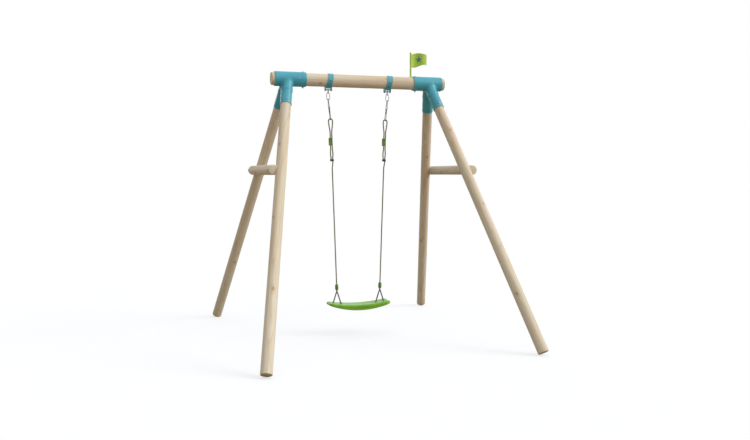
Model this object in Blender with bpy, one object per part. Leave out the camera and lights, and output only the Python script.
"""Round-pole wooden single swing: a crossbeam on two A-frames, two moulded A-frame brackets,
strap hangers, chain links, snap hooks, adjustable ropes and a moulded plank seat.

Metres, +Z up. The origin is on the ground under the middle of the beam, X runs along the
beam (left is -X) and the swing moves along Y (front is -Y).
"""

import math
from collections import namedtuple
from types import SimpleNamespace

import bmesh
import bpy
from mathutils import Matrix, Quaternion, Vector

# ---------------------------------------------------------------- driving dimensions
GAP = 0.0004                 # clearance between touching pieces

BEAM_Z = 2.005               # height of the beam's axis
BEAM_R = 0.050
BEAM_HALF = 0.710
BEAM_RIM = 0.007             # rounded rim at the beam's ends

LEG_R = 0.040
LEG_NODE_X = 0.581           # where the leg axes meet the beam's axis
FOOT_X = 0.991               # where the leg axes meet the ground
FOOT_Y = 1.170
FOOT_RIM = 0.0030            # rounded rim at the leg's ends
LEG_START = 0.094            # distance along the leg axis from the beam's axis
LEG_BOLT_AT = 0.213          # along the leg axis, as are the two below
SOCKET_START, SOCKET_END = 0.001, 0.245
LEG_ROOM_END = 2.6           # past the foot

BRACKET_IN, BRACKET_OUT = 0.441, 0.685    # the bracket's sleeve round the beam
BRACKET_R = 0.0565
SOCKET_R = 0.0440
BEAM_BOLT_X = 0.463
SLEEVE_SCREW_X = 0.500

SPREADER_R = 0.037
SPREADER_X = 0.781
SPREADER_Z = 1.309
SPREADER_HALF = 0.424
SPREADER_RIM = 0.008
SPREADER_BOLT_Y = 0.398

SWING_X = -0.016             # middle of the swing along the beam
HANGER_HALF = 0.244          # hanger distance from the swing's middle
PIN_Z = 1.933                # hanger pin, on which the chain swings
STRAP_LEAN = 0.19            # how far the strap leans towards +X for its rise
STRAP_LEAN_FROM = 0.035      # below the beam's axis, where the lean starts

ROPE_R = 0.0055
STRAND_W = 0.0066            # half the distance between the two strands in the clip

ROPE_SLEEVE_HALF = 0.1811    # rope sleeve pivot, from the swing's middle
ROPE_SLEEVE_Z = 0.400
APEX_Z = 0.3610              # seat pitch axis, at the mouth of the rope sleeves

SIDES = {"left": -1, "right": 1}
DEPTHS = {"front": -1, "back": 1}

# ---------------------------------------------------------------- fasteners
Fastener = namedtuple("Fastener", "head_r head_h shank_r nut_width nut_h", defaults=(None, None))

M8 = Fastener(head_r=0.0095, head_h=0.0045, shank_r=0.0040, nut_width=0.0130, nut_h=0.0065)
PIN_BOLT = Fastener(head_r=0.0060, head_h=0.0035, shank_r=0.0030, nut_width=0.0100, nut_h=0.0050)
SCREW = Fastener(head_r=0.0065, head_h=0.0032, shank_r=0.0030)
M8_HOLE = M8.shank_r + GAP
PIN_HOLE = PIN_BOLT.shank_r + GAP
SCREW_HOLE = SCREW.shank_r + GAP
NUT_ROOM = 0.0003            # nut bore beyond the shank's radius

BOLT_TAIL = 0.012            # bolt length beyond the part it goes through
PIN_TAIL = 0.008
SPREADER_BOLT_LENGTH = 0.100
SLEEVE_SCREW_LENGTH = 0.042
HANGER_SCREW_LENGTH = 0.034

# where the screw holes start, out from the beam's axis
SLEEVE_SCREW_HOLE_FROM = 0.0120
HANGER_SCREW_HOLE_FROM = 0.0180
SCREW_HOLE_TO = 0.08

# ---------------------------------------------------------------- clear the scene
for old in list(bpy.data.objects):
    bpy.data.objects.remove(old, do_unlink=True)

scene = bpy.context.scene
helpers = bpy.data.collections.new("helpers")
scene.collection.children.link(helpers)

# ---------------------------------------------------------------- materials
Look = namedtuple("Look", "rgb roughness metallic", defaults=(0.0,))    # rgb in 0-255
LOOKS = {
    "wood": Look(rgb=(205, 186, 152), roughness=0.75),
    "teal": Look(rgb=(62, 146, 160), roughness=0.38),
    "zinc": Look(rgb=(176, 178, 180), roughness=0.34, metallic=1.0),
    "dark": Look(rgb=(60, 60, 58), roughness=0.45, metallic=0.6),
    "rope": Look(rgb=(122, 113, 90), roughness=0.9),
    "green": Look(rgb=(104, 166, 44), roughness=0.45),
    "seat": Look(rgb=(118, 186, 42), roughness=0.42),
    "lime": Look(rgb=(172, 200, 52), roughness=0.5),
    "nylon": Look(rgb=(222, 220, 212), roughness=0.5),
}
DISPLAY_GAMMA = 2.2


def own_material(piece_name, look_name):
    """Each piece has a material of its own."""
    look = LOOKS[look_name]
    colour = (*[(channel / 255) ** DISPLAY_GAMMA for channel in look.rgb], 1)
    made = bpy.data.materials.new(piece_name + "_finish")
    made.use_nodes = True
    shader = made.node_tree.nodes["Principled BSDF"]
    shader.inputs["Base Color"].default_value = colour
    shader.inputs["Roughness"].default_value = look.roughness
    shader.inputs["Metallic"].default_value = look.metallic
    made.diffuse_color = colour
    return made


# ---------------------------------------------------------------- objects
axis_places = {}             # world position of each joint axis, by name


def local_place(at, parent):
    """A world position relative to its parent axis."""
    return Vector(at) if parent is None else Vector(at) - axis_places[parent.name]


def new_object(name, shape, collection, at, turn, sharp):
    """An object from a bmesh, shaded smooth up to the sharp angle in degrees."""
    bmesh.ops.recalc_face_normals(shape, faces=shape.faces)
    mesh = bpy.data.meshes.new(name)
    shape.to_mesh(mesh)
    shape.free()
    mesh.shade_smooth()
    mesh.set_sharp_from_angle(angle=math.radians(sharp))
    made = bpy.data.objects.new(name, mesh)
    collection.objects.link(made)
    made.location = at
    if turn is not None:
        made.rotation_mode = "QUATERNION"
        made.rotation_quaternion = turn
    return made


def add_piece(name, shape, look, at, turn=None, parent=None, sharp=35):
    """A visible piece at a world position."""
    made = new_object(name, shape, scene.collection, local_place(at, parent), turn, sharp)
    made.parent = parent
    made.data.materials.append(own_material(name, look))
    return made


def add_helper(name, shape, at=(0, 0, 0), turn=None):
    """An operand for a boolean, left out of renders."""
    made = new_object(name, shape, helpers, at, turn, sharp=35)
    made.hide_render = True
    made.display_type = "WIRE"
    return made


def add_axis(name, at, parent=None):
    """An empty on a joint's axis, which carries the pieces that turn there."""
    made = bpy.data.objects.new(name, None)
    made.empty_display_size = 0.03
    scene.collection.objects.link(made)
    axis_places[name] = Vector(at)
    made.parent = parent
    made.location = local_place(at, parent)
    return made


def boolean(target, operand, operation):
    made = target.modifiers.new(operation.lower(), "BOOLEAN")
    made.operation = operation
    made.solver = "EXACT"
    made.object = operand


def cut(target, operand):
    boolean(target, operand, "DIFFERENCE")


def join(target, operand):
    boolean(target, operand, "UNION")


def turn_z_to(direction):
    """The rotation that takes local Z to a direction."""
    return Vector((0, 0, 1)).rotation_difference(Vector(direction).normalized())


X_TURN = turn_z_to((1, 0, 0))
Y_TURN = turn_z_to((0, 1, 0))
FRONT_TURN = turn_z_to((0, -1, 0))


# ---------------------------------------------------------------- shapes
def skin(shape, rings, closed):
    """Quads between rings of equal count. The rings join up, or the two ends are capped."""
    pairs = list(zip(rings, rings[1:]))
    if closed:
        pairs.append((rings[-1], rings[0]))
    for low, high in pairs:
        for i in range(len(low)):
            j = (i + 1) % len(low)
            shape.faces.new((low[i], low[j], high[j], high[i]))
    if not closed:
        shape.faces.new(rings[0])
        shape.faces.new(rings[-1])


def turned(profile, segments, phase=0.0):
    """A solid of revolution about local Z. The profile is (radius, z), and an end at radius 0
    closes to a point; otherwise the ends are capped flat. The phase is in segments."""
    shape = bmesh.new()
    rings = []
    for radius, z in profile:
        if radius == 0:
            rings.append([shape.verts.new((0, 0, z))])
        else:
            rings.append([
                shape.verts.new((radius * math.cos(2 * math.pi * (i + phase) / segments),
                                 radius * math.sin(2 * math.pi * (i + phase) / segments), z))
                for i in range(segments)])
    for low, high in zip(rings, rings[1:]):
        for i in range(segments):
            j = (i + 1) % segments
            corners = []
            for corner in (low[i % len(low)], low[j % len(low)],
                           high[j % len(high)], high[i % len(high)]):
                if corner not in corners:
                    corners.append(corner)
            shape.faces.new(corners)
    for end in (rings[0], rings[-1]):
        if len(end) > 1:
            shape.faces.new(end)
    return shape


def turned_ring(profile, segments):
    """A closed (radius, z) profile turned about local Z, so that it leaves a bore."""
    shape = bmesh.new()
    rings = [[shape.verts.new((radius * math.cos(2 * math.pi * i / segments),
                               radius * math.sin(2 * math.pi * i / segments), z))
              for i in range(segments)] for radius, z in profile]
    skin(shape, rings, closed=True)
    return shape


def rod(radius, z0, z1, segments, rim=0.0, phase=0.0):
    """A round bar along local Z, with a rounded rim at each end if one is given."""
    if not rim:
        return turned([(radius, z0), (radius, z1)], segments, phase)
    inner = 0.3 * rim
    return turned([(radius - rim, z0), (radius - inner, z0 + inner), (radius, z0 + rim),
                   (radius, z1 - rim), (radius - inner, z1 - inner), (radius - rim, z1)],
                  segments, phase)


def wire(path, radius, plane, closed=True):
    """A round section of six sides swept along (across, z) points in the YZ or XZ plane.
    An open path gets domed ends."""
    segments = 6
    if plane == "YZ":
        side = Vector((1, 0, 0))
        points = [Vector((0, across, z)) for across, z in path]
    else:
        side = Vector((0, 1, 0))
        points = [Vector((across, 0, z)) for across, z in path]
    count = len(points)
    shape = bmesh.new()

    def ring(centre, along, ring_r):
        across = along.cross(side).normalized()
        return [shape.verts.new(centre + ring_r * (math.cos(2 * math.pi * i / segments) * side
                                                   + math.sin(2 * math.pi * i / segments) * across))
                for i in range(segments)]

    def heading(k):
        if closed:
            return (points[(k + 1) % count] - points[k - 1]).normalized()
        return (points[min(k + 1, count - 1)] - points[max(k - 1, 0)]).normalized()

    dome = [(0.5, 0.866), (0.866, 0.5)]    # (reach, radius) as shares of the wire's radius
    rings = []
    if not closed:
        along = heading(0)
        for reach, share in dome[::-1]:
            rings.append(ring(points[0] - along * radius * reach, along, radius * share))
    for k in range(count):
        rings.append(ring(points[k], heading(k), radius))
    if not closed:
        along = heading(count - 1)
        for reach, share in dome:
            rings.append(ring(points[-1] + along * radius * reach, along, radius * share))
    skin(shape, rings, closed)
    return shape


def box(low, high):
    shape = bmesh.new()
    bmesh.ops.create_cube(shape, size=1.0)
    low, high = Vector(low), Vector(high)
    for vert in shape.verts:
        vert.co = Vector((low[k] if vert.co[k] < 0 else high[k] for k in range(3)))
    return shape


def prism_x(outline, x0, x1):
    """An outline of (y, z) points extruded along X."""
    shape = bmesh.new()
    face = shape.faces.new([shape.verts.new((x0, y, z)) for y, z in outline])
    extruded = bmesh.ops.extrude_face_region(shape, geom=[face])["geom"]
    bmesh.ops.translate(shape, verts=[part for part in extruded
                                      if isinstance(part, bmesh.types.BMVert)],
                        vec=(x1 - x0, 0, 0))
    return shape


def loft(sections):
    """Closed rings of points joined in order, with flat ends."""
    shape = bmesh.new()
    skin(shape, [[shape.verts.new(point) for point in ring] for ring in sections], closed=False)
    return shape


def merged(*parts):
    """Several closed shapes in one, for a helper."""
    shape = bmesh.new()
    for part in parts:
        mesh = bpy.data.meshes.new("part")
        part.to_mesh(mesh)
        part.free()
        shape.from_mesh(mesh)
        bpy.data.meshes.remove(mesh)
    return shape


def placed(shape, at, turn=None):
    matrix = Matrix.Translation(Vector(at))
    if turn is not None:
        matrix = matrix @ turn.to_matrix().to_4x4()
    bmesh.ops.transform(shape, matrix=matrix, verts=shape.verts)
    return shape


def arc(centre_x, centre_y, radius, start, end, steps):
    """Points on an arc in a plane, angles in degrees."""
    angles = [math.radians(start + (end - start) * k / steps) for k in range(steps + 1)]
    return [(centre_x + radius * math.cos(angle), centre_y + radius * math.sin(angle))
            for angle in angles]


def stadium(half, low, high):
    """The closed wire path of a chain link: two half circles and two straight sides."""
    return arc(0, high - half, half, 0, 180, 5) + arc(0, low + half, half, 180, 360, 5)


def dome_bolt(size, length):
    """A bolt with a domed head. Its shank runs down from z 0, and the head sits above."""
    return turned([(0, -length), (size.shank_r, -length), (size.shank_r, 0),
                   (size.head_r, 0), (size.head_r, size.head_h * 0.35),
                   (size.head_r * 0.72, size.head_h * 0.82), (0, size.head_h)], 8)


def hex_nut(size):
    """A hexagonal nut standing on z 0, with a hexagonal bore."""
    shape = bmesh.new()
    outer_r = size.nut_width / 2 / math.cos(math.radians(30))
    inner_r = (size.shank_r + NUT_ROOM) / 0.87    # the bore's flats lie at about shank + room

    def hexagon(radius, z):
        return [shape.verts.new((radius * math.cos(math.radians(60 * i)),
                                 radius * math.sin(math.radians(60 * i)), z)) for i in range(6)]

    skin(shape, [hexagon(outer_r, 0), hexagon(outer_r, size.nut_h),
                 hexagon(inner_r, size.nut_h), hexagon(inner_r, 0)], closed=True)
    return shape


def add_bolt_and_nut(kind, place, size, centre, out, reach, tail):
    """A bolt through a part that reaches equally far both ways from the centre along out."""
    offset = out * (reach + GAP)
    add_piece(f"{kind}_bolt_{place}", dome_bolt(size, 2 * reach + tail), "zinc",
              at=centre + offset, turn=turn_z_to(out))
    add_piece(f"{kind}_nut_{place}", hex_nut(size), "zinc",
              at=centre - offset, turn=turn_z_to(-out))


# ---------------------------------------------------------------- leg geometry
Leg = namedtuple("Leg", "name side x_sign y_sign top along out")


def leg_line(side, depth):
    """A leg's axis from the beam down, and the way its bolt points."""
    x_sign, y_sign = SIDES[side], DEPTHS[depth]
    top = Vector((x_sign * LEG_NODE_X, 0, BEAM_Z))
    foot = Vector((x_sign * FOOT_X, y_sign * FOOT_Y, 0))
    along = (foot - top).normalized()
    across = Vector((0, y_sign, 0))
    # across the leg, out of the A-frame and up
    out = (across - across.dot(along) * along).normalized()
    return Leg(f"{depth}_{side}", side, x_sign, y_sign, top, along, out)


LEGS = [leg_line(side, depth) for side in SIDES for depth in DEPTHS]


def leg_end():
    """Length to the foot, which is cut square, its lowest edge standing on the ground."""
    down = LEGS[-1].along.z
    drop = (LEG_R - 0.3 * FOOT_RIM) * math.sqrt(1 - down ** 2) + 0.3 * FOOT_RIM * down
    return (BEAM_Z - drop) / -down


def leg_bolt_centre(leg):
    return leg.top + leg.along * LEG_BOLT_AT


# ---------------------------------------------------------------- holes shared by several pieces
leg_bolt_holes = {}
spreader_bolt_holes = {}
leg_rooms = {}
for leg in LEGS:
    leg_bolt_holes[leg.name] = add_helper(
        f"hole_leg_bolt_{leg.name}", rod(M8_HOLE, -0.07, 0.07, 8),
        at=leg_bolt_centre(leg), turn=turn_z_to(leg.out))
    spreader_bolt_holes[leg.name] = add_helper(
        f"hole_spreader_bolt_{leg.name}", rod(M8_HOLE, -0.105, 0.03, 8),
        at=(leg.x_sign * (SPREADER_X + SPREADER_R), leg.y_sign * SPREADER_BOLT_Y, SPREADER_Z),
        turn=turn_z_to((leg.x_sign, 0, 0)))
    leg_rooms[leg.name] = add_helper(
        f"room_for_leg_{leg.name}", rod(LEG_R + GAP, LEG_START - GAP, LEG_ROOM_END, 20),
        at=leg.top, turn=turn_z_to(leg.along))

beam_room = add_helper("room_for_beam", rod(BEAM_R + GAP, -0.9, 0.9, 24),
                       at=(0, 0, BEAM_Z), turn=X_TURN)

# ---------------------------------------------------------------- crossbeam
FLAG_POLE_X = 0.4275
FLAG_PEG_R = 0.0050
FLAG_PEG_DEPTH = 0.024       # how far the flag's peg goes into the beam
FLAG_HOLE_DEPTH = FLAG_PEG_DEPTH + 0.002


def hanger_x(sign):
    return SWING_X + sign * HANGER_HALF


def hanger_screw_x(sign):
    """The strap's lean has carried it this far at the height of the beam's axis."""
    return hanger_x(sign) + STRAP_LEAN * STRAP_LEAN_FROM


def hanger_screw_hole(sign):
    return placed(rod(SCREW_HOLE, HANGER_SCREW_HOLE_FROM, SCREW_HOLE_TO, 8),
                  (hanger_screw_x(sign), 0, BEAM_Z), FRONT_TURN)


def add_beam_holes():
    cuts = []
    for sign in SIDES.values():
        cuts.append(placed(rod(M8_HOLE, -0.09, 0.09, 8), (sign * BEAM_BOLT_X, 0, BEAM_Z)))
        # the bracket is the same part on both sides, turned half round, so its screw
        # faces the other way
        cuts.append(placed(rod(SCREW_HOLE, SLEEVE_SCREW_HOLE_FROM, SCREW_HOLE_TO, 8),
                           (sign * SLEEVE_SCREW_X, 0, BEAM_Z), turn_z_to((0, sign, 0))))
        cuts.append(hanger_screw_hole(sign))
    cuts.append(placed(rod(FLAG_PEG_R + GAP, BEAM_R - FLAG_HOLE_DEPTH, 0.09, 8),
                       (FLAG_POLE_X, 0, BEAM_Z)))
    return add_helper("beam_holes", merged(*cuts))


beam_holes = add_beam_holes()
crossbeam = add_piece("crossbeam", rod(BEAM_R, -BEAM_HALF, BEAM_HALF, 24, rim=BEAM_RIM), "wood",
                      at=(0, 0, BEAM_Z), turn=X_TURN)
cut(crossbeam, beam_holes)


# ---------------------------------------------------------------- A-frames
def build_bracket(side, sign):
    """A sleeve round the beam with a socket for each of the two legs."""
    x0, x1 = sorted((sign * BRACKET_IN, sign * BRACKET_OUT))
    bracket = add_piece(f"bracket_{side}", rod(BRACKET_R, x0, x1, 24, phase=0.5), "teal",
                        at=(0, 0, BEAM_Z), turn=X_TURN)
    side_legs = [leg for leg in LEGS if leg.side == side]
    for leg in side_legs:
        join(bracket, add_helper(f"socket_{leg.name}",
                                 rod(SOCKET_R, SOCKET_START, SOCKET_END, 20, phase=0.37),
                                 at=leg.top, turn=turn_z_to(leg.along)))
    cut(bracket, beam_room)
    for leg in side_legs:
        cut(bracket, leg_rooms[leg.name])
        cut(bracket, leg_bolt_holes[leg.name])
    cut(bracket, beam_holes)


def build_leg(leg):
    made = add_piece(f"leg_{leg.name}", rod(LEG_R, LEG_START, leg_end(), 20, rim=FOOT_RIM),
                     "wood", at=leg.top, turn=turn_z_to(leg.along))
    cut(made, leg_bolt_holes[leg.name])
    cut(made, spreader_bolt_holes[leg.name])
    add_bolt_and_nut("leg", leg.name, M8, leg_bolt_centre(leg), leg.out, SOCKET_R, BOLT_TAIL)


def build_spreader(side, sign):
    """The bar between the front and back legs, with a bolt into each leg."""
    spreader = add_piece(f"spreader_{side}",
                         rod(SPREADER_R, -SPREADER_HALF, SPREADER_HALF, 20, rim=SPREADER_RIM),
                         "wood", at=(sign * SPREADER_X, 0, SPREADER_Z), turn=Y_TURN)
    for leg in LEGS:
        if leg.side != side:
            continue
        cut(spreader, leg_rooms[leg.name])
        cut(spreader, spreader_bolt_holes[leg.name])
        add_piece(f"spreader_bolt_{leg.name}", dome_bolt(M8, SPREADER_BOLT_LENGTH), "zinc",
                  at=(sign * (SPREADER_X + SPREADER_R + GAP), leg.y_sign * SPREADER_BOLT_Y,
                      SPREADER_Z),
                  turn=turn_z_to((sign, 0, 0)))


def build_bracket_fasteners(side, sign):
    add_bolt_and_nut("beam", side, M8, Vector((sign * BEAM_BOLT_X, 0, BEAM_Z)),
                     Vector((0, 0, 1)), BRACKET_R, BOLT_TAIL)
    add_piece(f"sleeve_screw_{side}", dome_bolt(SCREW, SLEEVE_SCREW_LENGTH), "zinc",
              at=(sign * SLEEVE_SCREW_X, sign * (BRACKET_R + GAP), BEAM_Z),
              turn=turn_z_to((0, sign, 0)))


for side, sign in SIDES.items():
    build_bracket(side, sign)
    build_spreader(side, sign)
    build_bracket_fasteners(side, sign)
for leg in LEGS:
    build_leg(leg)

# ---------------------------------------------------------------- flag
FLAG_X = 0.4310              # origin of the panel's shape
FLAG_TOP = 2.253
FLAG_POLE_R = 0.0072
FLAG_COLLAR_R = 0.0096
FLAG_START = 0.002           # panel's near edge, from FLAG_X
FLAG_FLY = 0.131             # panel's length along X
FLAG_T = 0.0028
FLAG_WAVE = 0.010            # height of the wave along Y
FLAG_WAVES = 0.95            # waves along the fly


def flag_pole():
    """A peg in the beam, a collar on top of the beam and the pole above it."""
    beam_top = BEAM_Z + BEAM_R
    peg_end = beam_top - FLAG_PEG_DEPTH
    return turned([(0, peg_end), (0.0035, peg_end),
                   (FLAG_PEG_R, peg_end + 0.004), (FLAG_PEG_R, beam_top + GAP),
                   (FLAG_COLLAR_R, beam_top + GAP), (FLAG_COLLAR_R, beam_top + 0.006),
                   (FLAG_POLE_R, beam_top + 0.009), (FLAG_POLE_R, FLAG_TOP - 0.003),
                   (0.0048, FLAG_TOP), (0, FLAG_TOP)], 8)


def flag_panel():
    """A thin sheet that waves: its edges are curves in the share of the fly."""
    fly_steps, hoist_steps = 14, 2
    shape = bmesh.new()

    def sheet(face):
        rows = []
        for i in range(fly_steps + 1):
            share = i / fly_steps
            low = 2.135 + 0.021 * share - 0.006 * math.sin(2 * math.pi * share)
            high = 2.236 + 0.013 * share + 0.009 * math.sin(math.pi * share * 1.35)
            phase = 2 * math.pi * FLAG_WAVES * share
            y = FLAG_WAVE * math.sin(phase)
            slope = FLAG_WAVE * 2 * math.pi * FLAG_WAVES * math.cos(phase) / FLAG_FLY
            offset = Vector((-slope, 1)).normalized() * (face * FLAG_T / 2)
            rows.append([shape.verts.new((FLAG_START + FLAG_FLY * share + offset.x, y + offset.y,
                                          low + (high - low) * j / hoist_steps))
                         for j in range(hoist_steps + 1)])
        return rows

    front, back = sheet(-1), sheet(1)
    for rows in (front, back):
        for i in range(fly_steps):
            for j in range(hoist_steps):
                shape.faces.new((rows[i][j], rows[i + 1][j], rows[i + 1][j + 1], rows[i][j + 1]))
    for i in range(fly_steps):
        for j in (0, hoist_steps):
            shape.faces.new((front[i][j], front[i + 1][j], back[i + 1][j], back[i][j]))
    for j in range(hoist_steps):
        for i in (0, fly_steps):
            shape.faces.new((front[i][j], front[i][j + 1], back[i][j + 1], back[i][j]))
    return shape


flag = add_piece("flag", flag_pole(), "lime", at=(FLAG_POLE_X, 0, 0))
join(flag, add_helper("flag_panel_shape", flag_panel(), at=(FLAG_X, 0, 0)))

# ---------------------------------------------------------------- hangers
HANGER_W = 0.040
HANGER_T = 0.0032
STRAP_IN = BEAM_R + GAP
STRAP_OUT = STRAP_IN + HANGER_T
EAR_IN, EAR_OUT = 0.0190, 0.0270    # the fork's ears, along X from the pin's middle
EAR_TIP_R = 0.0105
EAR_NECK = (0.019, 1.9400)          # half width, z
EAR_ROOT = (0.024, BEAM_Z - 0.040)
FORK_SLOT_TOP = 1.9458
BUSH_R = 0.0055
BUSH_HALF = 0.0185


def hanger_fork(side, pin):
    """Two ears under the beam with a slot between them and a hole for the pin."""
    outline = [(-y, z) for y, z in (EAR_ROOT, EAR_NECK)] \
        + arc(0, PIN_Z, EAR_TIP_R, 200, 340, 5) + [EAR_NECK, EAR_ROOT]
    fork = add_helper(f"fork_{side}", prism_x(outline, pin.x - EAR_OUT, pin.x + EAR_OUT))
    cut(fork, add_helper(f"fork_slot_{side}", box((pin.x - EAR_IN, -0.05, 1.90),
                                                  (pin.x + EAR_IN, 0.05, FORK_SLOT_TOP))))
    cut(fork, beam_room)
    cut(fork, add_helper(f"pin_hole_{side}", placed(rod(PIN_HOLE, -0.05, 0.05, 8), pin, X_TURN)))
    return fork


def build_hanger(side, sign, pin):
    """A strap round the beam, leaning towards +X as it rises, with a fork below it."""
    strap = turned_ring([(STRAP_IN, -HANGER_W / 2), (STRAP_OUT, -HANGER_W / 2),
                         (STRAP_OUT, HANGER_W / 2), (STRAP_IN, HANGER_W / 2)], 24)
    for vert in strap.verts:
        # local -X is up, local Z runs along the beam
        vert.co.z += STRAP_LEAN * max(0, STRAP_LEAN_FROM - vert.co.x)
    hanger = add_piece(f"hanger_{side}", strap, "teal", at=(hanger_x(sign), 0, BEAM_Z), turn=X_TURN)
    join(hanger, hanger_fork(side, pin))
    cut(hanger, add_helper(f"hanger_screw_hole_{side}", hanger_screw_hole(sign)))
    add_piece(f"hanger_screw_{side}", dome_bolt(SCREW, HANGER_SCREW_LENGTH), "zinc",
              at=(hanger_screw_x(sign), -(STRAP_OUT + GAP), BEAM_Z), turn=FRONT_TURN)


def build_pivot(side, sign, pin):
    """The hanger's pin: a bolt with its head on the outer ear, its nut and a bush."""
    add_bolt_and_nut("pivot", side, PIN_BOLT, pin, Vector((sign, 0, 0)), EAR_OUT, PIN_TAIL)
    add_piece(f"pivot_bush_{side}",
              turned_ring([(PIN_HOLE, -BUSH_HALF), (BUSH_R, -BUSH_HALF),
                           (BUSH_R, BUSH_HALF), (PIN_HOLE, BUSH_HALF)], 10),
              "nylon", at=pin, turn=X_TURN)


# ---------------------------------------------------------------- chain links and snap hook sizes
LINK_R = 0.0025
LINK_SLACK = 0.00025         # room between a knuckle and each wire that meets there
HOOK_R = 0.0035

# heights of the links' wire paths, from the pin
TOP_LINK_W = 0.0095          # half width of the wire path
TOP_LINK_HI, TOP_LINK_LO = BUSH_R + LINK_R + 2 * LINK_SLACK, -0.0285
KNUCKLE_1 = TOP_LINK_LO + LINK_R + LINK_SLACK      # top link on oval link
OVAL_W = 0.0125
OVAL_HI, OVAL_LO = KNUCKLE_1 + LINK_R + LINK_SLACK, -0.0770
KNUCKLE_2 = OVAL_LO + LINK_R + LINK_SLACK          # oval link on snap hook

# heights in the hook's frame, from the second knuckle
HOOK_LEAN = math.radians(6.6)
HOOK_TOP, HOOK_BOTTOM = HOOK_R + LINK_SLACK, -0.0703
HOOK_TOP_ARC, HOOK_BOTTOM_ARC = 0.0070, 0.0165
HOOK_TIP_AT = 0.0040         # open end of the hook, along its front side
HOOK_END_BACK = 0.0032       # other open end, back from the foot of the front side
GATE_R = 0.0029
GATE_AT = 0.0115             # gate's pivot along the front side
STEM_R = 0.0030
EYE_W = 0.0135
EYE_HI, EYE_LO = -0.1030, -0.1593
ROPE_TOP = -0.1510           # rope path at the top of its eye loop

# (radius, z) profiles in the hook's frame
BOSS_PROFILE = [(0.0056, -0.0850), (0.0070, -0.0836), (0.0070, -0.0672), (0.0056, -0.0658)]
STEM_PROFILE = [(0, -0.1035), (STEM_R, -0.1035), (STEM_R, -0.0654), (0.0052, -0.0654),
                (0.0052, -0.0632), (STEM_R, -0.0618), (0, -0.0618)]


def hook_paths():
    """The (y, z) path of the hook's wire, open at the front, and the two ends of its gate."""
    top_z, bottom_z = HOOK_TOP - HOOK_TOP_ARC, HOOK_BOTTOM + HOOK_BOTTOM_ARC
    tilt = math.degrees(math.asin((HOOK_BOTTOM_ARC - HOOK_TOP_ARC) / (top_z - bottom_z)))
    over = arc(0, top_z, HOOK_TOP_ARC, 180 - tilt, tilt, 5)
    under = arc(0, bottom_z, HOOK_BOTTOM_ARC, tilt, -180 - tilt, 8)
    side_top, side_low = Vector(over[0]), Vector(under[-1])
    side_line = side_low - side_top
    direction = side_line.normalized()
    wire_end = side_line.length - HOOK_END_BACK

    def on_side(distance):
        return side_top + direction * distance

    path = [on_side(HOOK_TIP_AT)] + over + under + [on_side(wire_end)]
    gate_end = wire_end - HOOK_R - 0.0006 - GATE_R
    return path, on_side(GATE_AT), on_side(gate_end)


# ---------------------------------------------------------------- one side of the swing
def swing_line(side, sign):
    """The joints, axes and directions from one hanger's pin down to its rope sleeve."""
    pin = Vector((hanger_x(sign), 0, PIN_Z))
    knuckle_1 = pin + Vector((0, 0, KNUCKLE_1))
    knuckle_2 = pin + Vector((0, 0, KNUCKLE_2))
    lean = Quaternion((0, 1, 0), sign * HOOK_LEAN)    # towards the swing's middle
    rope_top = knuckle_2 + lean @ Vector((0, 0, ROPE_TOP))
    sleeve_at = Vector((SWING_X + sign * ROPE_SLEEVE_HALF, 0, ROPE_SLEEVE_Z))
    run = sleeve_at - rope_top
    down = run.normalized()
    swing_axis = add_axis(f"swing_axis_{side}", pin)
    return SimpleNamespace(
        side=side, sign=sign, pin=pin, knuckle_1=knuckle_1, knuckle_2=knuckle_2, lean=lean,
        rope_top=rope_top, rope_length=run.length, down=down,
        rope_turn=Vector((0, 0, -1)).rotation_difference(down), sleeve_at=sleeve_at,
        swing_axis=swing_axis, sway_axis=add_axis(f"sway_axis_{side}", knuckle_2, swing_axis))


def build_links(line):
    add_piece(f"top_link_{line.side}",
              wire(stadium(TOP_LINK_W, TOP_LINK_LO, TOP_LINK_HI), LINK_R, "YZ"),
              "zinc", at=line.pin, parent=line.swing_axis)
    add_piece(f"oval_link_{line.side}",
              wire(stadium(OVAL_W, OVAL_LO - KNUCKLE_1, OVAL_HI - KNUCKLE_1), LINK_R, "XZ"),
              "zinc", at=line.knuckle_1, parent=line.swing_axis)


def build_snap_hook(line):
    """A hook hanging from the second knuckle, with a bored boss at its foot, and its gate."""
    path, gate_top, gate_low = hook_paths()
    side, at, lean = line.side, line.knuckle_2, line.lean
    hook = add_piece(f"snap_hook_{side}", wire(path, HOOK_R, "YZ", closed=False),
                     "zinc", at=at, turn=lean, parent=line.sway_axis)
    join(hook, add_helper(f"hook_boss_{side}", turned(BOSS_PROFILE, 12), at=at, turn=lean))
    cut(hook, add_helper(f"hook_bore_{side}", rod(STEM_R + GAP, -0.10, -0.055, 8),
                         at=at, turn=lean))

    gate_at = at + lean @ Vector((0, *gate_top))
    gate_axis = add_axis(f"gate_axis_{side}", gate_at, line.sway_axis)
    add_piece(f"hook_gate_{side}",
              wire([(0, 0), gate_low - gate_top], GATE_R, "YZ", closed=False),
              "zinc", at=gate_at, turn=lean, parent=gate_axis)


def build_swivel_eye(line):
    """A wire eye with a headed stem that turns in the hook's boss."""
    at, lean = line.knuckle_2, line.lean
    eye = add_piece(f"swivel_eye_{line.side}",
                    wire(stadium(EYE_W, EYE_LO, EYE_HI), LINK_R, "YZ"),
                    "zinc", at=at, turn=lean, parent=line.sway_axis)
    join(eye, add_helper(f"eye_stem_{line.side}", turned(STEM_PROFILE, 8), at=at, turn=lean))


# ---------------------------------------------------------------- ropes
ROPE_LOOP_W = 0.0160
STRAND_BULGE = 0.0098        # half distance where the strands spread above the clip
CLIP_AT = 0.322              # below the top of the rope, as is the adjuster
ADJUSTER_AT = 0.177
ADJUSTER_L = 0.060
BORE_R = ROPE_R + 0.0008

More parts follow.
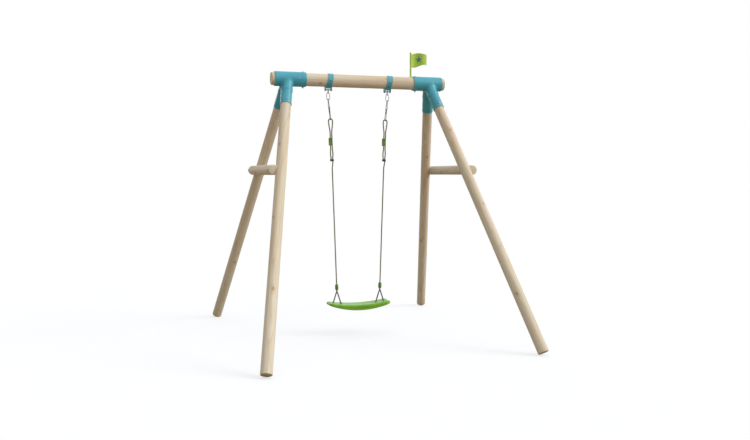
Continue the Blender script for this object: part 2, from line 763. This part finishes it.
# distances below the top of the rope where both strands have a point
STRAND_STATIONS = [0.016, 0.028, 0.045, 0.062, 0.079, 0.096, 0.112,
                   0.228, 0.240, 0.256, 0.275, 0.290, 0.306]
# where the strands' half distance changes: (start, end, half distance there and there)
STRAND_SPANS = [
    (0.022, 0.112, ROPE_LOOP_W, STRAND_W),
    (0.228, 0.275, STRAND_W, STRAND_BULGE),
    (0.275, 0.311, STRAND_BULGE, STRAND_W),
]
# the main strand coming up to the clip: (x, distance below the clip's middle)
MAIN_STRAND = [(0, 0.075), (0.0006, 0.060), (0.0050, 0.030), (STRAND_W, 0.014),
               (STRAND_W, -0.004)]
ROPE_TAIL = 0.001            # how far the rope's other end goes below the clip's middle
ROPE_END_GAP = 0.0005        # how far the rope stops short of the sleeve's pivot

# (radius, z) from the sleeve's pivot
SLEEVE_TOP = 0.0060
SLEEVE_MOUTH = SLEEVE_TOP - 0.046
SLEEVE_R = 0.0135
SLEEVE_PROFILE = [
    (0.0078, SLEEVE_TOP), (0.0112, SLEEVE_TOP), (SLEEVE_R, -0.0040), (SLEEVE_R, -0.0300),
    (0.0126, SLEEVE_MOUTH), (0.0102, SLEEVE_MOUTH), (0.0088, -0.0345), (0.0078, -0.0300)]


def strand_half(below):
    """Half the distance between the two strands, at a distance below the top of the rope."""
    start, end, from_half, to_half = next(span for span in STRAND_SPANS if below <= span[1])
    share = min(max((below - start) / (end - start), 0), 1)
    return from_half + (to_half - from_half) * share * share * (3 - 2 * share)


def build_rope(line):
    """One strand up from the seat, a loop through the eye, and back down to the clip."""
    strand = [(strand_half(below), -below) for below in STRAND_STATIONS]
    path = [(0, -(line.rope_length - ROPE_END_GAP))] \
        + [(x, -(CLIP_AT + below)) for x, below in MAIN_STRAND] \
        + strand[::-1] \
        + arc(0, -ROPE_LOOP_W, ROPE_LOOP_W, 0, 180, 6)[1:-1] \
        + [(-x, z) for x, z in strand] + [(-STRAND_W, -(CLIP_AT + ROPE_TAIL))]
    add_piece(f"rope_{line.side}", wire(path, ROPE_R, "XZ", closed=False),
              "rope", at=line.rope_top, turn=line.rope_turn, parent=line.sway_axis)


def build_rope_block(line, names, look, at, parent, low, high, soft, bores):
    """A soft-edged block on the rope. The names are the block's and its bores', and the
    bores are (x, low z, high z)."""
    block = add_piece(f"{names[0]}_{line.side}", box(low, high), look,
                      at=at, turn=line.rope_turn, parent=parent)
    bevel = block.modifiers.new("soft_edges", "BEVEL")
    bevel.width = soft
    bevel.segments = 1
    tools = [placed(rod(BORE_R, z0, z1, 8), (x, 0, 0)) for x, z0, z1 in bores]
    cut(block, add_helper(f"{names[1]}_{line.side}", merged(*tools), at=at, turn=line.rope_turn))


def build_rope_clip(line):
    """The main strand's bore goes right through; the other is closed at the bottom."""
    build_rope_block(line, ("rope_clip", "clip_bores"), "dark",
                     at=line.rope_top + line.down * CLIP_AT, parent=line.sway_axis,
                     low=(-0.0142, -0.0078, -0.009), high=(0.0142, 0.0078, 0.009), soft=0.003,
                     bores=[(STRAND_W, -0.02, 0.02), (-STRAND_W, -0.0075, 0.02)])


def build_rope_adjuster(line):
    """A block that slides on both strands; the main strand's bore is open on its +X side."""
    at = line.rope_top + line.down * ADJUSTER_AT
    build_rope_block(line, ("rope_adjuster", "adjuster_bores"), "green",
                     at=at, parent=add_axis(f"adjuster_axis_{line.side}", at, line.sway_axis),
                     low=(-0.0205, -0.0088, -ADJUSTER_L / 2),
                     high=(0.0082, 0.0088, ADJUSTER_L / 2), soft=0.004,
                     bores=[(STRAND_W, -0.05, 0.05), (-STRAND_W, -0.05, 0.05)])


def build_rope_sleeve(line):
    """A sleeve over the end of the rope, free to tip on it."""
    axis = add_axis(f"level_axis_{line.side}", line.sleeve_at, line.sway_axis)
    add_piece(f"rope_sleeve_{line.side}", turned_ring(SLEEVE_PROFILE, 12), "green",
              at=line.sleeve_at, turn=line.rope_turn, parent=axis)


lines = []
for side, sign in SIDES.items():
    line = swing_line(side, sign)
    lines.append(line)
    build_hanger(side, sign, line.pin)
    build_pivot(side, sign, line.pin)
    build_links(line)
    build_snap_hook(line)
    build_swivel_eye(line)
    build_rope(line)
    build_rope_clip(line)
    build_rope_adjuster(line)
    build_rope_sleeve(line)

# ---------------------------------------------------------------- seat
SEAT_HALF_X = 0.252
SEAT_HALF_Y = 0.080
SEAT_TOP_Z = 0.244           # at the seat's middle
SEAT_RISE = 0.023            # how much higher the top is at the seat's ends
SEAT_SKIRT = 0.041
SEAT_TAPER = 0.022           # how much shallower the skirt is at the seat's ends
SEAT_CORNER = 0.038
SEAT_WALL = 0.006
POCKET_BOTTOM_Z = 0.17       # below the skirt
POCKET_CHAMFER = 0.005
HOLE_IN, HOLE_OUT = 0.146, 0.210    # rope holes, along X from the seat's middle


def seat_top(x):
    return SEAT_TOP_Z + SEAT_RISE * (x / SEAT_HALF_X) ** 2


def seat_depth(x, inset=0):
    """Half the depth of the seat, or of an outline inset from it, with round corners in plan."""
    past = abs(x) - (SEAT_HALF_X - SEAT_CORNER)
    if past <= 0:
        return SEAT_HALF_Y - inset
    return SEAT_HALF_Y - SEAT_CORNER + math.sqrt(max((SEAT_CORNER - inset) ** 2 - past ** 2, 0))


def seat_stations(inset=0):
    """Section places along X: eight even steps, and four round each pair of corners."""
    corner = SEAT_CORNER - inset
    flat = SEAT_HALF_X - inset - corner
    even = [flat * (2 * k / 8 - 1) for k in range(9)]
    bend = [flat + corner * math.sin(math.radians(angle)) for angle in (24, 46, 66, 90)]
    return [-x for x in reversed(bend)] + even + bend


def seat_section(x):
    """The (y, z) outline of the seat's outside: one edge, the middle, the mirrored edge."""
    depth, top = seat_depth(x), seat_top(x)
    bottom = top - SEAT_SKIRT + SEAT_TAPER * (x / SEAT_HALF_X) ** 2
    edge = [(depth - 0.0030, bottom), (depth, bottom + 0.004), (depth - 0.0010, top - 0.009),
            (depth - 0.0040, top - 0.003), (depth - 0.010, top)]
    return edge + [(0.0, top - 0.002)] + [(-y, z) for y, z in reversed(edge)]


def pocket_section(x):
    """The (y, z) outline of the hollow under the seat."""
    depth = seat_depth(x, SEAT_WALL)
    top = seat_top(x) - SEAT_WALL - 0.001
    edge = [(depth, POCKET_BOTTOM_Z), (depth, top - POCKET_CHAMFER), (depth - POCKET_CHAMFER, top)]
    return edge + [(-y, z) for y, z in reversed(edge)]


def seat_loft(section, places):
    return loft([[(x, y, z - APEX_Z) for y, z in section(x)] for x in places])


apex = Vector((SWING_X, 0, APEX_Z))
pitch_axis = add_axis("pitch_axis", apex)
seat = add_piece("seat", seat_loft(seat_section, seat_stations()), "seat",
                 at=apex, parent=pitch_axis, sharp=40)
cut(seat, add_helper("seat_pocket", seat_loft(pocket_section, seat_stations(SEAT_WALL)), at=apex))

# ---------------------------------------------------------------- rope loops through the seat
LOOP_TOP_HALF = 0.1795       # where the two legs of a loop would meet, from the seat's middle
LOOP_TOP_Z = 0.3550
LOOP_TOP_BEND, LOOP_LOW_BEND = 0.0064, 0.0070
LOOP_BELOW = 0.0165          # how far the loop's lower corners lie below the seat's top
SEAT_HOLE_R = ROPE_R + 0.0012
SPLICE_TOP, SPLICE_LOW = 0.3655, 0.3365
SPLICE_RIM = 0.0012


def rounded(corners, radii, steps):
    """A closed path through corners in the XZ plane, each rounded by its radius."""
    path = []
    for k, (corner, radius) in enumerate(zip(corners, radii)):
        before = (corners[k - 1] - corner).normalized()
        after = (corners[(k + 1) % len(corners)] - corner).normalized()
        half = before.angle(after) / 2
        reach = radius / math.tan(half)
        centre = corner + (before + after).normalized() * (radius / math.sin(half))
        start = corner + before * reach - centre
        end = corner + after * reach - centre
        turn = start.angle_signed(end)
        for i in range(steps + 1):
            angle = -turn * i / steps
            path.append(centre + Vector((start.x * math.cos(angle) - start.y * math.sin(angle),
                                         start.x * math.sin(angle) + start.y * math.cos(angle))))
    return path


def build_seat_loop(line):
    """A loop through two holes in the seat, whose legs join into one strand that ends in
    the mouth of the rope sleeve."""
    top = Vector((line.sign * LOOP_TOP_HALF, LOOP_TOP_Z - APEX_Z))
    low_corners, hole_tools = [], []
    for hole_x in (HOLE_IN, HOLE_OUT):
        hole = Vector((line.sign * hole_x, seat_top(hole_x) - APEX_Z))
        direction = (hole - top).normalized()
        low_corners.append(hole + direction * LOOP_BELOW)
        hole_tools.append(placed(rod(SEAT_HOLE_R, -0.016, 0.03, 8), (hole.x, 0, hole.y),
                                 turn_z_to((-direction.x, 0, -direction.y))))
    low_in, low_out = low_corners
    path = rounded([top, low_out, low_in], [LOOP_TOP_BEND, LOOP_LOW_BEND, LOOP_LOW_BEND], 4)
    loop = add_piece(f"seat_loop_{line.side}", wire(path, ROPE_R, "XZ"),
                     "rope", at=apex, parent=pitch_axis)

    down = line.down
    splice_at = line.sleeve_at + down * ((ROPE_SLEEVE_Z - SPLICE_TOP) / -down.z) - apex
    splice = rod(ROPE_R, 0, (SPLICE_TOP - SPLICE_LOW) / -down.z, 8, rim=SPLICE_RIM)
    join(loop, add_helper(f"splice_{line.side}", placed(splice, splice_at, turn_z_to(down)),
                          at=apex))
    cut(seat, add_helper(f"seat_holes_{line.side}", merged(*hole_tools), at=apex))


for line in lines:
    build_seat_loop(line)
